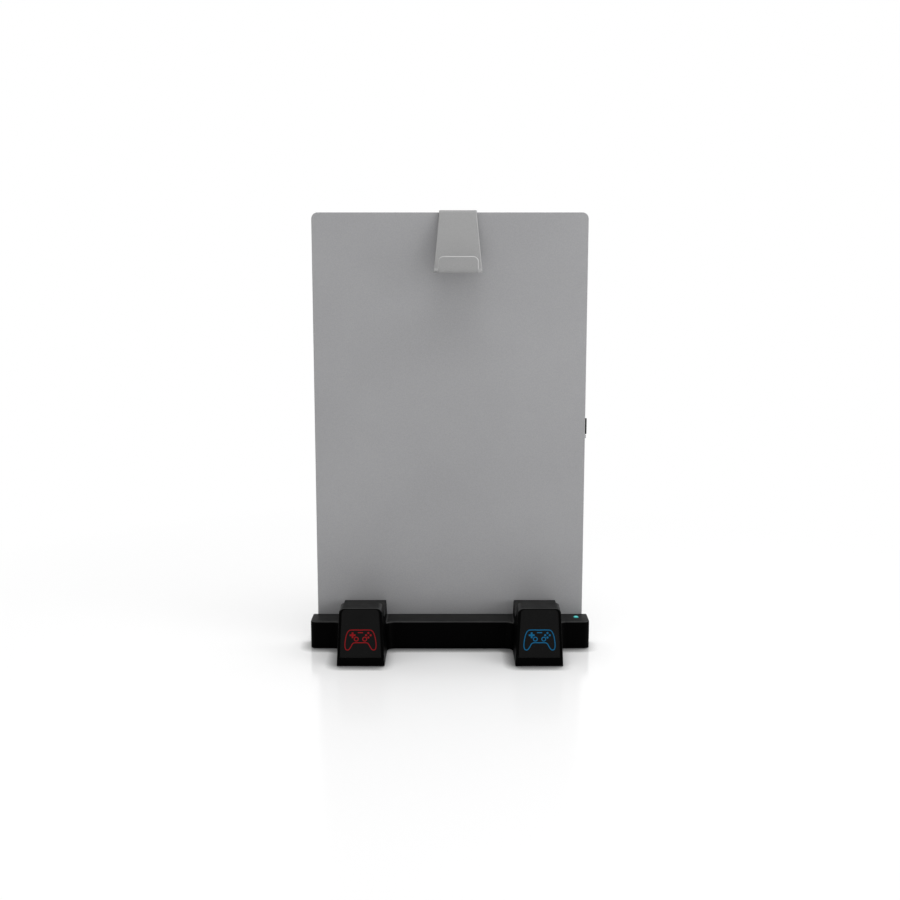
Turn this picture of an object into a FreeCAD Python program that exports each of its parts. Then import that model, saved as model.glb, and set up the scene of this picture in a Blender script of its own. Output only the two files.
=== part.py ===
"""A free-standing console stand, in millimetres, standing on z = 0 with its front towards -Y.

A folded steel sheet is the upright back panel and the tray behind it.  A steel hanger hooks over the
panel's top edge.  A moulded dock with two charging towers is screwed to the foot of the panel.
"""

import FreeCAD
import Part

import math
import os

from FreeCAD import Placement, Rotation, Vector

# Back panel and tray, one folded sheet
panel_width = 260.0
panel_top = 416.0
panel_corner = 6.0
sheet = 2.0
sheet_bend = 3.0
tray_depth = 116.0
tray_lip = 12.0
edge_break = 0.5

# Hanger, one folded strap
hanger_centre = 7.5
strap = 2.0
strap_top_bend = 0.7
strap_root_bend = 4.0
strap_lip_bend = 3.0
strap_play = 0.2
strap_edge = 0.7
hanger_rear_leg = 28.0
hanger_drop = 56.0
hanger_root = 17.0
hanger_neck = 4.0
hanger_reach = 55.0
hanger_top_width = 35.5
hanger_arm_width = 45.0
lip_width = 36.5
lip_height = 15.0
lip_lean = 1.5
lip_corner = 5.0
lip_root = 4.0
arm_shoulder = 6.0

# Dock case
bar_width = 270.0
bar_depth = 25.0
bar_top = 27.5
bar_end_radius = 6.0
bar_edge = 1.6
case_wall = 2.5
foot_height = 0.6
tower_spacing = 165.4
tower_reach = 76.5
tower_foot_width = 44.4
tower_head_width = 39.2
tower_corner = 5.0
tower_edge = 1.0
tower_gap = 3.0
root_fillet = 8.0
skirt_height = 8.0
face_lean = 6.0
face_length = 46.8
crest_reach = 57.0
crest_rise = 1.0
valley_reach = 38.0
valley_height = 34.0
valley_round = 10.0
rest_reach = 15.0
rest_height = 43.0
rest_round = 2.5

# Front plates and what lights them
plate_thickness = 1.2
plate_setback = 0.3
plate_rim = 2.6
plate_top_rim = 1.3
plate_sill = 0.7
plate_corner = 4.0
plate_foot_corner = 0.6
plate_play = 0.15
window_width = 33.0
window_height = 23.0
window_centre = 17.3
light_box_wall = 1.6
light_box_depth = 6.5
light_box_flange = 1.0
light_box_lip = 1.2
board = 1.6
small_board = 1.2
led_size = (3.2, 2.8, 0.8)
led_spread = 16.0

# Charging contacts
block_length = 17.0
block_width = 8.0
block_rise = 2.5
block_flange = 2.0
block_lip = 1.2
block_edge = 0.6
blade_width = 2.6
blade_thickness = 1.2
blade_rise = 3.2
blade_tip = 1.1
blade_spacing = 9.0
fit = 0.1

# Base plate, board and small parts
cover = 2.2
cover_play = 0.35
board_top = 10.4
board_gap = 1.0
board_width = 9.5
board_end_gap = 0.4
board_right_gap = 6.0
board_screw_inset = 20.0
board_screw_middle = -30.0
standoff_radius = 2.6
chip_size = (6.0, 6.0, 1.0)
coil_size = (7.0, 7.0, 3.2)
chip_reach = 24.0
inlet_width = 8.94
inlet_height = 3.26
inlet_depth = 7.4
inlet_skin = 0.3
inlet_setback = 0.3
inlet_tongue = (6.7, 0.7)
tongue_setback = 0.6
inlet_back = 1.5
light_inset = 11.8
light_reach = 10.5
light_width = 4.6
light_depth = 6.0
light_flange = 1.2
light_lip = 0.8
light_stem = 1.8
light_rise = 0.5
ribbon = 0.8
ribbon_width = 6.0
ribbon_bend = 3.0
ribbon_offset = 7.0
ribbon_level = 15.0
ribbon_run = 6.0

# Screws and feet, drawn with a few flats because they repeat
screw_flat_count = 8
foot_flat_count = 12
screw_shank = 2.9
screw_head = 5.6
screw_head_height = 1.2
screw_length = 9.0
screw_play = 0.05
boss_radius = 3.4
boss_length = 11.0
tower_screw_inset = 22.0
bar_screw_inset = 7.0
bar_screw_end = 6.5
board_screw_shank = 1.9
board_screw_head = 3.6
board_screw_length = 3.9
board_screw_spare = 0.6
panel_screw_height = 18.0
panel_screw_end = 23.0
foot_radius = 5.0
foot_seat = 0.8
foot_inset = 10.0
bar_foot_end = 19.0
bar_foot_inset = 13.0
tray_foot_side = 15.0
tray_foot_inset = 14.0
pad_length = 190.0
pad_width = 12.0
pad_height = 1.5
pad_reaches = (30.0, 88.0)

# Cable clip on the panel's right edge
clip_bottom = 205.8
clip_height = 15.3
clip_bore = 3.1
clip_skin = 1.5
clip_proud = 1.4
clip_mouth = 3.6
clip_pad = 12.0
lug_height = 3.4
lug_proud = 0.9

# Derived places
front_y = -(tower_reach + tray_depth) / 2
panel_y = front_y + tower_reach
sheet_rear_y = panel_y + sheet
rear_y = panel_y + tray_depth
bar_y = panel_y - bar_depth
tray_top = foot_height + sheet
tower_x = {"left": -tower_spacing / 2, "right": tower_spacing / 2}
lean = math.radians(face_lean)
head_y = front_y + face_length * math.sin(lean)
head_z = skirt_height + face_length * math.cos(lean)
crest_z = head_z + crest_rise
width_loss = (tower_foot_width - tower_head_width) / head_z
cover_top = foot_height + cover
board_bottom = board_top - board
bar_end = bar_width / 2
board_x = (-bar_end + case_wall + board_end_gap, bar_end - board_right_gap)
board_screw_x = (-bar_end + board_screw_inset, board_screw_middle, bar_end - board_screw_inset)
panel_screw_x = (-bar_end + panel_screw_end, 0, bar_end - panel_screw_end)
bar_screw_x = (-bar_end + bar_screw_end, bar_end - bar_screw_end)
light_x = bar_end - light_inset
chip_x = tower_spacing / 2 - chip_reach
board_y = (panel_y - case_wall - board_gap - board_width, panel_y - case_wall - board_gap)
board_mid = (board_y[0] + board_y[1]) / 2
plate_back = -plate_setback - plate_thickness
led_board_front = plate_back - light_box_depth
led_board_back = led_board_front - small_board

# The valley's floor lies on the line that halves the angle between its two slopes
crest = Vector(panel_y - crest_reach, crest_z, 0)
valley = Vector(panel_y - valley_reach, valley_height, 0)
rest = Vector(panel_y - rest_reach, rest_height, 0)
valley_in = (valley - crest).normalize()
valley_out = (rest - valley).normalize()
valley_normal = (valley_out - valley_in).normalize()
valley_floor = valley_round * (1 / math.cos(valley_in.getAngle(valley_out) / 2) - 1)
contact_tilt = math.degrees(math.atan2(valley_normal.x, valley_normal.y))
block_bottom = valley_floor - case_wall - screw_play - block_lip
block_top = valley_floor + block_rise
contact_board_back = block_bottom - small_board
tray_foot_y = (panel_y + tray_foot_inset, rear_y - tray_foot_inset)
tray_foot_x = panel_width / 2 - tray_foot_side
tray_foot_places = [(x, y) for x in (-tray_foot_x, tray_foot_x) for y in tray_foot_y]
bar_foot_x = bar_end - bar_foot_end
dock_foot_places = [(x, front_y + foot_inset) for x in tower_x.values()]
dock_foot_places += [(x, bar_y + bar_foot_inset) for x in (-bar_foot_x, bar_foot_x)]


def box(x, y, z):
    """A box between two limits along each axis."""
    return Part.makeBox(x[1] - x[0], y[1] - y[0], z[1] - z[0], Vector(x[0], y[0], z[0]))


def plan(z):
    """Points drawn in plan at height z."""
    return lambda x, y: Vector(x, y, z)


def side(x):
    """Points drawn in side view at x."""
    return lambda y, z: Vector(x, y, z)


def front(y):
    """Points drawn in front view at y."""
    return lambda x, z: Vector(x, y, z)


def outline(corners, draw):
    """Closed wire through corners (u, v, radius), each corner rounded by its radius."""
    pieces = []
    for i, (u, v, radius) in enumerate(corners):
        here = Vector(u, v, 0)
        into = (here - Vector(*corners[i - 1][:2], 0)).normalize()
        out = (Vector(*corners[(i + 1) % len(corners)][:2], 0) - here).normalize()
        half = into.getAngle(out) / 2
        start = here - into * radius * math.tan(half)
        end = here + out * radius * math.tan(half)
        middle = here
        if radius > 0:
            middle = here + (out - into).normalize() * radius * (1 / math.cos(half) - 1)
        pieces.append((start, middle, end, radius))
    edges = []
    for i, (start, middle, end, radius) in enumerate(pieces):
        if radius > 0:
            edges.append(Part.Arc(draw(*start[:2]), draw(*middle[:2]), draw(*end[:2])).toShape())
        following = pieces[(i + 1) % len(pieces)][0]
        if (following - end).Length > 1e-6:
            edges.append(Part.LineSegment(draw(*end[:2]), draw(*following[:2])).toShape())
    return Part.Wire(edges)


def prism(corners, draw, travel):
    """A rounded outline carried along a straight line."""
    return Part.Face(outline(corners, draw)).extrude(Vector(*travel))


def folded(points, thickness, bends):
    """Corners of a strip of even thickness that follows a path, folded with the given inner radii."""
    left = []
    right = []
    last = len(points) - 1
    for i, (point, bend) in enumerate(zip(points, [0, *bends, 0])):
        here = Vector(*point, 0)
        before = (here - Vector(*points[i - 1], 0)).normalize() if i > 0 else None
        after = (Vector(*points[i + 1], 0) - here).normalize() if i < last else None
        into = before or after
        out = after or before
        normal_in = Vector(-into.y, into.x, 0)
        normal_out = Vector(-out.y, out.x, 0)
        miter = (normal_in + normal_out) * (thickness / 2 / (1 + normal_in.dot(normal_out)))
        turn = into.cross(out).z
        outer = bend + thickness if 0 < i < last else 0
        left.append((*(here + miter)[:2], bend if turn > 0 else outer))
        right.append((*(here - miter)[:2], outer if turn > 0 else bend))
    return left + right[::-1]


def rod(radius, start, axis, length, flats=0):
    """A round bar from a start point along an axis, or one with a number of flats."""
    if not flats:
        return Part.makeCylinder(radius, length, Vector(*start), Vector(*axis))
    angles = [2 * math.pi * i / round(flats) for i in range(round(flats))]
    ring = [Vector(radius * math.cos(angle), radius * math.sin(angle), 0) for angle in angles]
    bar_along_z = Part.Face(Part.makePolygon(ring + ring[:1])).extrude(Vector(0, 0, length))
    return placed(bar_along_z, Placement(Vector(*start), Rotation(Vector(0, 0, 1), Vector(*axis))))


def obround(x, y, wide, deep, bottom, top):
    """An upright bar of obround plan."""
    corner = min(wide, deep) * 0.499
    corners = [(x - wide / 2, y - deep / 2, corner), (x + wide / 2, y - deep / 2, corner),
               (x + wide / 2, y + deep / 2, corner), (x - wide / 2, y + deep / 2, corner)]
    return prism(corners, plan(bottom), (0, 0, top - bottom))


def placed(shape, placement):
    """A shape drawn in a local frame, put in its place."""
    result = shape.copy()
    result.Placement = placement.multiply(result.Placement)
    return result


def shifted(shape, x, y, z):
    """A copy of a shape, moved."""
    return placed(shape, Placement(Vector(x, y, z), Rotation()))


def edges_at(shape, test):
    """Edges whose every vertex meets a test."""
    return [edge for edge in shape.Edges if all(test(vertex.Point) for vertex in edge.Vertexes)]


def near(a, b):
    """Whether two lengths agree."""
    return abs(a - b) < 1e-3


def face_frame(x):
    """Frame of a tower's sloped face: x across, y up the slope from the skirt, z out of the face."""
    return Placement(Vector(x, front_y, skirt_height), Rotation(Vector(1, 0, 0), 90 - face_lean))


def contact_frame(x):
    """Frame of the contacts in a tower's valley: z leans back with the thing that is charged."""
    valley_line = Vector(x, panel_y - valley_reach, valley_height)
    return Placement(valley_line, Rotation(Vector(1, 0, 0), -contact_tilt))


def back_panel():
    """Upright, tray and rear lip folded from one sheet, with screw holes and the lug under the clip."""
    half = sheet / 2
    tray_mid = foot_height + half
    lip_top = foot_height + tray_lip
    path = [(panel_y + half, panel_top), (panel_y + half, tray_mid),
            (rear_y - half, tray_mid), (rear_y - half, lip_top)]
    shape = prism(folded(path, sheet, (sheet_bend, sheet_bend)), side(-panel_width / 2), (panel_width, 0, 0))
    corners = edges_at(shape, lambda p: near(p.z, panel_top) and near(abs(p.x), panel_width / 2))
    corners += edges_at(shape, lambda p: near(p.z, lip_top) and near(abs(p.x), panel_width / 2))
    shape = shape.makeFillet(panel_corner, [e for e in corners if near(e.Length, sheet)])
    rim = edges_at(shape, lambda p: near(p.z, panel_top) and abs(p.x) < panel_width / 2)
    shape = shape.makeChamfer(edge_break, [e for e in rim if e.Length > sheet])
    lug = prism([(0, 0, 0), (lug_proud, 0, lug_proud / 2), (lug_proud, lug_height, lug_proud / 2),
                 (0, lug_height, 0)], front(panel_y + edge_break), (0, sheet - edge_break, 0))
    shape = shape.fuse(shifted(lug, panel_width / 2, 0, clip_bottom - lug_height))
    for x in panel_screw_x:
        start = (x, panel_y - 1, panel_screw_height)
        shape = shape.cut(rod(screw_shank / 2 + fit, start, (0, 1, 0), sheet + 2, screw_flat_count))
    return shape


def hanger_hook():
    """A strap folded over the panel's top edge, sloping forwards to an arm with an upturned lip."""
    half = strap / 2
    over = panel_top + half
    arm_z = panel_top - hanger_drop + half
    lip_y = panel_y - hanger_reach + half
    path = [(sheet_rear_y + strap_play + half, panel_top - hanger_rear_leg),
            (sheet_rear_y + strap_play + half, over),
            (panel_y - strap_play - half, over),
            (panel_y - hanger_root, arm_z),
            (lip_y, arm_z),
            (lip_y - lip_lean, arm_z - half + lip_height)]
    corners = folded(path, strap, (strap_top_bend, strap_top_bend, strap_root_bend, strap_lip_bend))
    wide = hanger_arm_width / 2
    strip = prism(corners, side(-wide), (2 * wide, 0, 0))
    split = panel_y - hanger_root - 4 * strap
    low = arm_z - half
    neck = hanger_top_width / 2
    leg_width = [(-wide, low - 1, 0), (wide, low - 1, 0), (wide, low + strap, 0),
                 (neck, over - hanger_neck, 0), (neck, over + hanger_neck, 0),
                 (-neck, over + hanger_neck, 0), (-neck, over - hanger_neck, 0), (-wide, low + strap, 0)]
    leg = strip.common(prism(leg_width, front(split), (0, tray_depth, 0)))
    nose = lip_y - lip_lean - strap
    lip = lip_width / 2
    arm_plan = [(-wide, split, 0), (wide, split, 0), (lip, lip_y + lip_root, arm_shoulder),
                (lip, nose, 0), (-lip, nose, 0), (-lip, lip_y + lip_root, arm_shoulder)]
    bend_top = low + strap_lip_bend
    lip_view = [(-wide, low - 1, 0), (wide, low - 1, 0), (wide, bend_top, 0), (lip, bend_top, 0),
                (lip, low + lip_height, lip_corner), (-lip, low + lip_height, lip_corner),
                (-lip, bend_top, 0), (-wide, bend_top, 0)]
    arm = strip.common(prism(arm_plan, plan(low - 1), (0, 0, 2 * lip_height)))
    arm = arm.common(prism(lip_view, front(split), (0, nose - split, 0)))
    shape = leg.fuse(arm).removeSplitter()
    flats = [face for face in shape.Faces if isinstance(face.Surface, Part.Plane)]
    fronts = [face for face in flats if face.normalAt(0, 0).y < -0.9 and face.CenterOfMass.y < panel_y]
    rim = [edge for face in fronts for edge in face.Edges if edge.BoundBox.ZLength > hanger_neck
           or edge.CenterOfMass.y < lip_y and edge.BoundBox.ZMin > low + lip_height / 2]
    shape = shape.makeChamfer(strap_edge, rim)
    return shifted(shape, hanger_centre, 0, 0)


def cable_clip():
    """An open ring on a pad, stuck to the rear of the panel and just showing past its edge."""
    outer = clip_bore + clip_skin
    x = panel_width / 2 + clip_proud - outer
    y = sheet_rear_y + outer
    shape = rod(outer, (x, y, clip_bottom), (0, 0, 1), clip_height)
    shape = shape.fuse(box((x - clip_pad, x), (sheet_rear_y, sheet_rear_y + clip_skin),
                           (clip_bottom, clip_bottom + clip_height))).removeSplitter()
    bore = rod(clip_bore, (x, y, clip_bottom - 1), (0, 0, 1), clip_height + 2)
    mouth = box((x - clip_mouth / 2, x + clip_mouth / 2), (y, y + 2 * outer),
                (clip_bottom - 1, clip_bottom + clip_height + 1))
    return shape.cut(bore).cut(mouth)


def tower_profile(bottom):
    """Side view of a tower: skirt, sloped face, crest, valley and rear rest."""
    return [(front_y, bottom, 0), (front_y, skirt_height, 0), (head_y, head_z, 0), (crest.x, crest.y, 0),
            (valley.x, valley.y, valley_round), (rest.x, rest.y, rest_round),
            (panel_y - tower_gap, rest_height, rest_round), (panel_y - tower_gap, bottom, 0)]


def tower(x, inset, bottom):
    """A tower with a round-cornered crest, or with an inset the hollow inside it."""
    top = crest_z + case_wall
    half_foot = (tower_foot_width - width_loss * bottom) / 2 - inset
    half_top = (tower_foot_width - width_loss * top) / 2 - inset
    profile = Part.Face(outline(tower_profile(bottom - inset), side(x - tower_foot_width)))
    if inset > 0:
        profile = profile.makeOffset2D(-inset, 2)
    shape = profile.extrude(Vector(2 * tower_foot_width, 0, 0))
    view = [(x - half_foot, bottom, 0), (x + half_foot, bottom, 0),
            (x + half_top, top, 0), (x - half_top, top, 0)]
    shape = shape.common(prism(view, front(front_y - 1), (0, tower_reach, 0)))
    lengthwise = [edge for edge in shape.Edges if edge.BoundBox.YLength > 1]
    lengthwise.sort(key=lambda edge: edge.CenterOfMass.z)
    return shape.makeFillet(tower_corner - inset, lengthwise[-2:])


def on_sloped_face(point):
    """Whether a point lies in the plane of the towers' sloped faces."""
    along = (point.y - front_y) * math.cos(lean)
    return near(along, (point.z - skirt_height) * math.sin(lean))


def rounded_tower(x):
    """A tower with rounded edges round its sloped face and up the sides of its skirt."""
    shape = tower(x, 0, foot_height)
    slope = edges_at(shape, on_sloped_face)
    skirt = edges_at(shape, lambda p: near(p.y, front_y))
    rim = [edge for edge in slope if edge.BoundBox.ZMax > skirt_height + tower_edge]
    rim += [edge for edge in skirt if edge.BoundBox.ZLength > tower_edge]
    return shape.makeFillet(tower_edge, rim)


def plate_view(grow):
    """Outline of a front plate on the sloped face, widened by grow."""
    low = plate_sill - grow
    high = face_length - plate_top_rim + grow
    taper = width_loss / 2 * math.cos(lean)
    half = (tower_foot_width - width_loss * skirt_height) / 2 - plate_rim + grow
    half_low = half - taper * low
    half_high = half - taper * high
    return [(-half_low, low, plate_foot_corner), (half_low, low, plate_foot_corner),
            (half_high, high, plate_corner + grow), (-half_high, high, plate_corner + grow)]


def front_plate(x):
    """The dark plate let into a tower's sloped face."""
    return placed(prism(plate_view(0), plan(plate_back), (0, 0, plate_thickness)), face_frame(x))


def behind_sign(width, height, low, high):
    """A block behind a plate, centred on the lit sign, between two depths under the sloped face."""
    up_slope = (window_centre - height / 2, window_centre + height / 2)
    return box((-width / 2, width / 2), up_slope, (low, high))


def light_box(x):
    """A white frame that keeps the light on the sign, with a flange behind the wall."""
    wide = window_width - 2 * fit
    tall = window_height - 2 * fit
    spread = 2 * light_box_flange
    shape = behind_sign(wide, tall, led_board_front, plate_back)
    shape = shape.fuse(behind_sign(wide + spread, tall + spread, -case_wall - light_box_lip, -case_wall))
    inner = 2 * light_box_wall
    shape = shape.cut(behind_sign(wide - inner, tall - inner, led_board_front - 1, plate_back + 1))
    return placed(shape.removeSplitter(), face_frame(x))


def led_board(x):
    """The small board that closes the back of a light box."""
    return placed(behind_sign(window_width, window_height, led_board_back, led_board_front), face_frame(x))


def sign_lamps(x):
    """Two lamps on a small board, facing the plate."""
    wide, tall, thick = led_size
    lamp = behind_sign(wide, tall, led_board_front, led_board_front + thick)
    lamps = [shifted(lamp, offset, 0, 0) for offset in (-led_spread / 2, led_spread / 2)]
    return placed(Part.Compound(lamps), face_frame(x))


def blade_shaft(low, high, play):
    """The two upright blades of a contact, or with some play the slots they stand in."""
    wide = blade_width / 2 + play
    thick = blade_thickness / 2 + play
    blade = box((-wide, wide), (-thick, thick), (low, high))
    return [shifted(blade, offset, 0, 0) for offset in (-blade_spacing / 2, blade_spacing / 2)]


def contact_footprint(low, high):
    """A slab as wide as a contact block's flange, between two heights."""
    half_long = block_length / 2 + block_flange
    half_wide = block_width / 2 + block_flange
    return box((-half_long, half_long), (-half_wide, half_wide), (low, high))


def contact_block(x):
    """The insulating block that stands up through the valley's floor, with a flange under the wall."""
    stem = obround(0, 0, block_length, block_width, block_bottom, block_top)
    rim = [edge for edge in stem.Edges if near(edge.BoundBox.ZMin, block_top)]
    stem = stem.makeChamfer(block_edge, rim)
    shape = stem.fuse(contact_footprint(block_bottom, block_bottom + block_lip)).removeSplitter()
    return placed(shape.cut(blade_shaft(block_bottom - 1, block_top + 1, fit)), contact_frame(x))


def contact_blades(x):
    """Two fixed blades that stand on the contact board and rise out of the block."""
    top = block_top + blade_rise
    blades = []
    for blade in blade_shaft(block_bottom, top, 0):
        tips = edges_at(blade, lambda p: near(p.z, top))
        blades.append(blade.makeFillet(blade_tip, [e for e in tips if near(e.Length, blade_thickness)]))
    return placed(Part.Compound(blades), contact_frame(x))


def contact_board(x):
    """The small board under a contact block."""
    return placed(contact_footprint(contact_board_back, block_bottom), contact_frame(x))


def ribbon_lead(x, frame, local):
    """A flat lead that leaves the back of a small board squarely and comes down on the main board."""
    start = frame.multVec(Vector(*local))
    bend = start + frame.Rotation.multVec(Vector(0, 0, -ribbon_run))
    path = [(start.y, start.z), (bend.y, bend.z), (bend.y, ribbon_level), (board_mid, ribbon_level),
            (board_mid, board_top)]
    corners = folded(path, ribbon, (ribbon_bend, ribbon_bend, ribbon_bend))
    return prism(corners, side(x - ribbon_width / 2), (ribbon_width, 0, 0))


def contact_lead(x):
    """The lead from a contact board to the main board."""
    return ribbon_lead(x - ribbon_offset, contact_frame(x), (0, 0, contact_board_back))


def sign_lead(x):
    """The lead from a sign's small board to the main board."""
    return ribbon_lead(x + ribbon_offset, face_frame(x), (0, window_centre, led_board_back))


def cover_screw_places():
    """Where the base plate is screwed up into the case."""
    under_towers = [(x, front_y + tower_screw_inset) for x in tower_x.values()]
    return under_towers + [(x, bar_y + bar_screw_inset) for x in bar_screw_x]


def dock_outline(inset):
    """Plan of the dock at the floor, drawn in by an inset."""
    half = bar_end - inset
    foot = tower_foot_width / 2 - inset
    high = panel_y - inset
    low = bar_y + inset
    nose = front_y + inset
    corners = [(half, high, 0), (half, low, bar_end_radius - inset)]
    for x in (tower_x["right"], tower_x["left"]):
        corners += [(x + foot, low, 0), (x + foot, nose, 0), (x - foot, nose, 0), (x - foot, low, 0)]
    return corners + [(-half, low, bar_end_radius - inset), (-half, high, 0)]


def bar(inset, bottom, top):
    """The bar between the panel and the towers, or with an inset the hollow inside it."""
    half = bar_end - inset
    corner = bar_end_radius - inset
    corners = [(half, panel_y - inset, 0), (half, bar_y + inset, corner),
               (-half, bar_y + inset, corner), (-half, panel_y - inset, 0)]
    return prism(corners, plan(bottom), (0, 0, top - bottom))


def dock_body():
    """The outside of the dock case as one solid block."""
    shape = bar(0, foot_height, bar_top).fuse([rounded_tower(x) for x in tower_x.values()]).removeSplitter()
    inside_ends = bar_end - 2 * bar_end_radius
    roots = [edge for edge in edges_at(shape, lambda p: near(p.y, bar_y) and abs(p.x) < inside_ends)
             if edge.BoundBox.ZLength > bar_depth / 2]
    shape = shape.makeFillet(root_fillet, roots)
    brow = edges_at(shape, lambda p: near(p.z, bar_top) and p.y < bar_y + bar_end_radius + edge_break)
    return shape.makeFillet(bar_edge, brow)


def inlet_view(grow):
    """Outline of the inlet's mouth in side view, widened by grow."""
    wide = inlet_width / 2 + grow
    tall = inlet_height / 2 + grow
    middle = board_top + inlet_height / 2
    corner = tall * 0.98
    return [(board_mid - wide, middle - tall, corner), (board_mid + wide, middle - tall, corner),
            (board_mid + wide, middle + tall, corner), (board_mid - wide, middle + tall, corner)]


def dock_top_case():
    """Bar and towers moulded as one hollow case, open below, with its screw bosses and openings."""
    body = dock_body()
    hollow = bar(case_wall, foot_height - 1, bar_top - case_wall)
    hollow = hollow.fuse([tower(x, case_wall, foot_height - 1) for x in tower_x.values()])
    upright = [((x, y, cover_top), (0, 0, 1)) for x, y in cover_screw_places()]
    level = [((x, panel_y, panel_screw_height), (0, -1, 0)) for x in panel_screw_x]
    bosses = [rod(boss_radius, start, axis, crest_z, screw_flat_count) for start, axis in upright]
    bosses += [rod(boss_radius, start, axis, boss_length, screw_flat_count) for start, axis in level]
    shape = body.cut(hollow).fuse([boss.common(body) for boss in bosses]).removeSplitter()
    hole = screw_shank / 2 + screw_play
    openings = [rod(hole, start, axis, screw_length, screw_flat_count) for start, axis in upright + level]
    for x in tower_x.values():
        recess = prism(plate_view(plate_play), plan(plate_back), (0, 0, tower_corner))
        window = behind_sign(window_width, window_height, -case_wall - 1, 0)
        openings += [placed(recess, face_frame(x)), placed(window, face_frame(x))]
        openings.append(placed(obround(0, 0, block_length + 2 * fit, block_width + 2 * fit,
                                       block_bottom - 1, block_top), contact_frame(x)))
    openings.append(obround(light_x, panel_y - light_reach, light_width + 2 * fit, light_depth + 2 * fit,
                            bar_top - 2 * case_wall, bar_top + 1))
    openings.append(prism(inlet_view(fit), side(-bar_end - 1), (case_wall + 2, 0, 0)))
    return shape.cut(openings)


def foot_group(places, height):
    """Round feet that stand on the floor."""
    return [rod(foot_radius, (x, y, 0), (0, 0, 1), height, foot_flat_count) for x, y in places]


def dock_base_plate():
    """The plate that closes the case from below, with standoffs for the main board."""
    shape = prism(dock_outline(case_wall + cover_play), plan(foot_height), (0, 0, cover))
    up = (0, 0, 1)
    rise = board_bottom - foot_height
    standoffs = [rod(standoff_radius, (x, board_mid, foot_height), up, rise, screw_flat_count)
                 for x in board_screw_x]
    shape = shape.fuse(standoffs).removeSplitter()
    pilot = board_screw_shank / 2 + screw_play
    deep = board_screw_length + board_screw_spare
    cuts = [rod(pilot, (x, board_mid, board_top - deep), up, deep, screw_flat_count) for x in board_screw_x]
    seat = foot_height + screw_head_height
    for x, y in cover_screw_places():
        cuts.append(rod(screw_shank / 2 + fit, (x, y, 0), up, cover_top, screw_flat_count))
        cuts.append(rod(screw_head / 2 + fit, (x, y, 0), up, seat, screw_flat_count))
    return shape.cut(cuts + foot_group(dock_foot_places, foot_height + foot_seat))


def screw(head, head_height, shank, length):
    """A pan-head screw along +z, its head's seat at the origin."""
    body = rod(head / 2, (0, 0, -head_height), (0, 0, 1), head_height, screw_flat_count)
    crown = [edge for edge in body.Edges if near(edge.BoundBox.ZMax, -head_height)]
    body = body.makeChamfer(head_height / 2, crown)
    return body.fuse(rod(shank / 2, (0, 0, 0), (0, 0, 1), length, screw_flat_count)).removeSplitter()


def base_plate_screws():
    """Screws up through the base plate into the case."""
    one = screw(screw_head, screw_head_height, screw_shank, screw_length)
    seat = foot_height + screw_head_height
    return Part.Compound([shifted(one, x, y, seat) for x, y in cover_screw_places()])


def panel_screws():
    """Screws forward through the panel into the case."""
    one = placed(screw(screw_head, screw_head_height, screw_shank, screw_length),
                 Placement(Vector(0, sheet_rear_y, panel_screw_height), Rotation(Vector(1, 0, 0), 90)))
    return Part.Compound([shifted(one, x, 0, 0) for x in panel_screw_x])


def board_screws():
    """Screws down through the main board into its standoffs."""
    one = placed(screw(board_screw_head, screw_head_height, board_screw_shank, board_screw_length),
                 Placement(Vector(0, board_mid, board_top), Rotation(Vector(1, 0, 0), 180)))
    return Part.Compound([shifted(one, x, 0, 0) for x in board_screw_x])


def dock_feet():
    """Soft feet let into the base plate."""
    return Part.Compound(foot_group(dock_foot_places, foot_height + foot_seat))


def tray_feet():
    """Soft feet stuck under the tray."""
    return Part.Compound(foot_group(tray_foot_places, foot_height))


def tray_pads():
    """Two soft strips across the tray."""
    across = (-pad_length / 2, pad_length / 2)
    upward = (tray_top, tray_top + pad_height)
    places = [panel_y + reach for reach in pad_reaches]
    return Part.Compound([box(across, (y - pad_width / 2, y + pad_width / 2), upward) for y in places])


def main_board():
    """The long board in the bar."""
    shape = box(board_x, board_y, (board_bottom, board_top))
    hole = board_screw_shank / 2 + fit
    return shape.cut([rod(hole, (x, board_mid, board_bottom - 1), (0, 0, 1), board + 2, screw_flat_count)
                      for x in board_screw_x])


def main_board_chips():
    """Charging chips and a coil on the main board."""
    chips = []
    for x, (wide, deep, tall) in ((-chip_x, chip_size), (0, coil_size), (chip_x, chip_size)):
        across = (x - wide / 2, x + wide / 2)
        along = (board_mid - deep / 2, board_mid + deep / 2)
        chips.append(box(across, along, (board_top, board_top + tall)))
    return Part.Compound(chips)


def power_inlet():
    """The metal shell of the power inlet, its mouth in the left end of the bar."""
    mouth = -bar_end + inlet_setback
    shape = prism(inlet_view(0), side(mouth), (inlet_depth, 0, 0))
    return shape.cut(prism(inlet_view(-inlet_skin), side(mouth - 1), (inlet_depth - inlet_skin + 1, 0, 0)))


def power_inlet_core():
    """The insulating tongue in the inlet and the block it grows from."""
    mouth = -bar_end + inlet_setback
    back = mouth + inlet_depth - inlet_skin
    wide, thick = inlet_tongue
    middle = board_top + inlet_height / 2
    block = prism(inlet_view(-inlet_skin - screw_play), side(back - inlet_back), (inlet_back, 0, 0))
    tongue = box((mouth + tongue_setback, back), (board_mid - wide / 2, board_mid + wide / 2),
                 (middle - thick / 2, middle + thick / 2))
    return block.fuse(tongue).removeSplitter()


def status_lamp():
    """The lamp on the main board under the light pipe."""
    wide, deep, thick = led_size
    y = panel_y - light_reach
    across = (light_x - wide / 2, light_x + wide / 2)
    return box(across, (y - deep / 2, y + deep / 2), (board_top, board_top + thick))


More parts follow.
